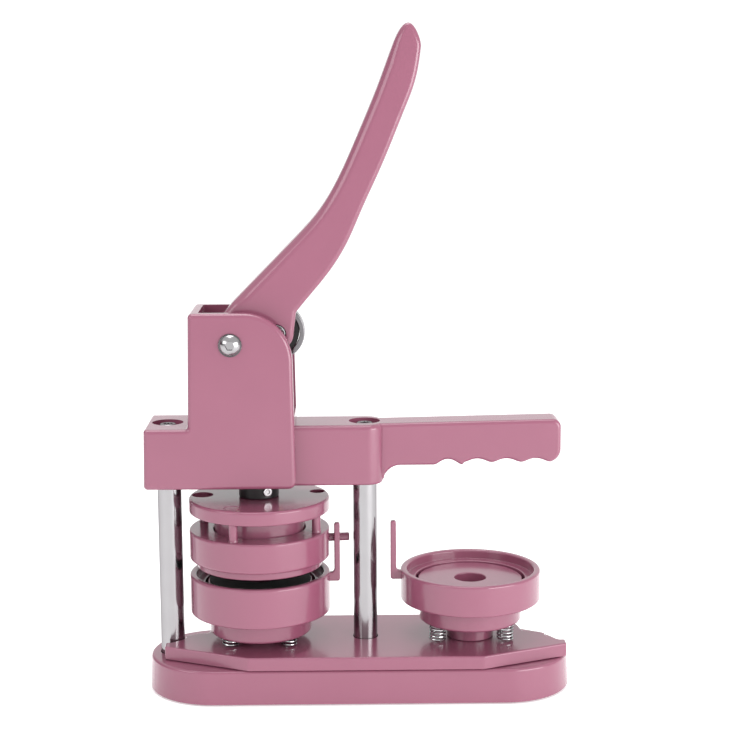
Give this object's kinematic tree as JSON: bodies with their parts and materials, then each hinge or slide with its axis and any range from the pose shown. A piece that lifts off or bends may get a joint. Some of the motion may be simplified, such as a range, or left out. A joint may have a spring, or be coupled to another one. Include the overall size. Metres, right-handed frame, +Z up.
{
  "type": "button badge maker",
  "caption": "Hand lever press that crimps round button badges: two sprung dies on a turntable swing under a roller-driven upper die, beside a finger grip.",
  "frame": {"origin": "on the floor, under the centre of the base", "axes": "+X along the base towards the finger grip, -Y the front with the pivot bolt's head, +Z up"},
  "size_m": [0.2336, 0.0776, 0.3633],
  "materials": {
    "pink_plastic": "glossy injection-moulded ABS",
    "chrome": "polished chrome plate",
    "bright_steel": "ground steel",
    "black_steel": "oiled black oxide",
    "bronze": "sintered bronze",
    "black_rubber": "matt",
    "white_nylon": "waxy",
    "grey_plastic": "fine moulded texture"
  },
  "bodies": {
    "frame": {"base_shell": "pink_plastic", "base_cover": "grey_plastic", "rubber_foot_1": "black_rubber", "rubber_foot_2": "black_rubber", "rubber_foot_3": "black_rubber", "rubber_foot_4": "black_rubber", "left_post": "chrome", "center_post": "chrome", "left_post_top_screw": "chrome", "center_post_top_screw": "chrome", "left_post_foot_screw": "bright_steel", "center_post_foot_screw": "bright_steel", "upper_body": "pink_plastic", "pivot_bolt": "chrome", "pivot_nut": "bright_steel", "ram_bush": "bronze", "ram_return_spring": "bright_steel", "turntable_washer": "white_nylon"},
    "lever": {"lever_handle": "pink_plastic", "roller_axle": "bright_steel", "bearing_inner_race": "bright_steel"},
    "roller": {"bearing_outer_race": "bright_steel", "bearing_seal": "black_rubber"},
    "ram": {"ram_shaft": "black_steel", "ram_cap": "bright_steel", "press_disc": "pink_plastic", "inner_die": "pink_plastic", "stack_screw": "bright_steel", "ram_set_screw": "chrome"},
    "upper_die": {"upper_die_ring": "pink_plastic", "crimp_ring": "chrome"},
    "turntable": {"turntable_plate": "pink_plastic", "left_platen": "pink_plastic", "right_platen": "pink_plastic", "left_platen_screw": "bright_steel", "right_platen_screw": "bright_steel", "left_cup_spring_1": "bright_steel", "left_cup_spring_2": "bright_steel", "left_cup_spring_3": "bright_steel", "left_cup_spring_4": "bright_steel", "right_cup_spring_1": "bright_steel", "right_cup_spring_2": "bright_steel", "right_cup_spring_3": "bright_steel"},
    "left_cup": {"left_cup": "pink_plastic"},
    "right_cup": {"right_cup": "pink_plastic"}
  },
  "joints": [
    {"name": "lever_swing", "type": "hinge", "parent": "frame", "child": "lever", "pos_m": [-0.0678, 0, 0.19535], "axis": [0, 1, 0], "range_deg": [0, 65]},
    {"name": "roller_spin", "type": "hinge", "parent": "lever", "child": "roller", "pos_m": [-0.04357, 0, 0.19962], "axis": [0, 1, 0], "continuous": true},
    {"name": "ram_press", "type": "slide", "parent": "frame", "child": "ram", "axis": [0, 0, -1], "range_m": [0, 0.0071], "deforming": ["ram_return_spring"]},
    {"name": "upper_die_index", "type": "hinge", "parent": "ram", "child": "upper_die", "pos_m": [-0.0549, 0, 0.0904], "axis": [0, 0, 1], "range_deg": [-14.2, 0]},
    {"name": "turntable_turn", "type": "hinge", "parent": "frame", "child": "turntable", "pos_m": [0.0035, 0, 0.0272], "axis": [0, 0, 1], "range_deg": [0, 180]},
    {"name": "left_cup_press", "type": "slide", "parent": "turntable", "child": "left_cup", "axis": [0, 0, -1], "range_m": [0, 0.0035], "stiffness_N_per_m": 900, "springref_m": -0.002, "deforming": ["left_cup_spring_1", "left_cup_spring_2", "left_cup_spring_3", "left_cup_spring_4"]},
    {"name": "right_cup_press", "type": "slide", "parent": "turntable", "child": "right_cup", "axis": [0, 0, -1], "range_m": [0, 0.0035], "stiffness_N_per_m": 900, "springref_m": -0.002, "deforming": ["right_cup_spring_1", "right_cup_spring_2", "right_cup_spring_3"]}
  ],
  "couplings": [
    {"joint": "ram_press", "follows": "lever_swing", "m_per_rad": 0.00617},
    {"joint": "upper_die_index", "follows": "turntable_turn", "ratio": -0.077778}
  ]
}
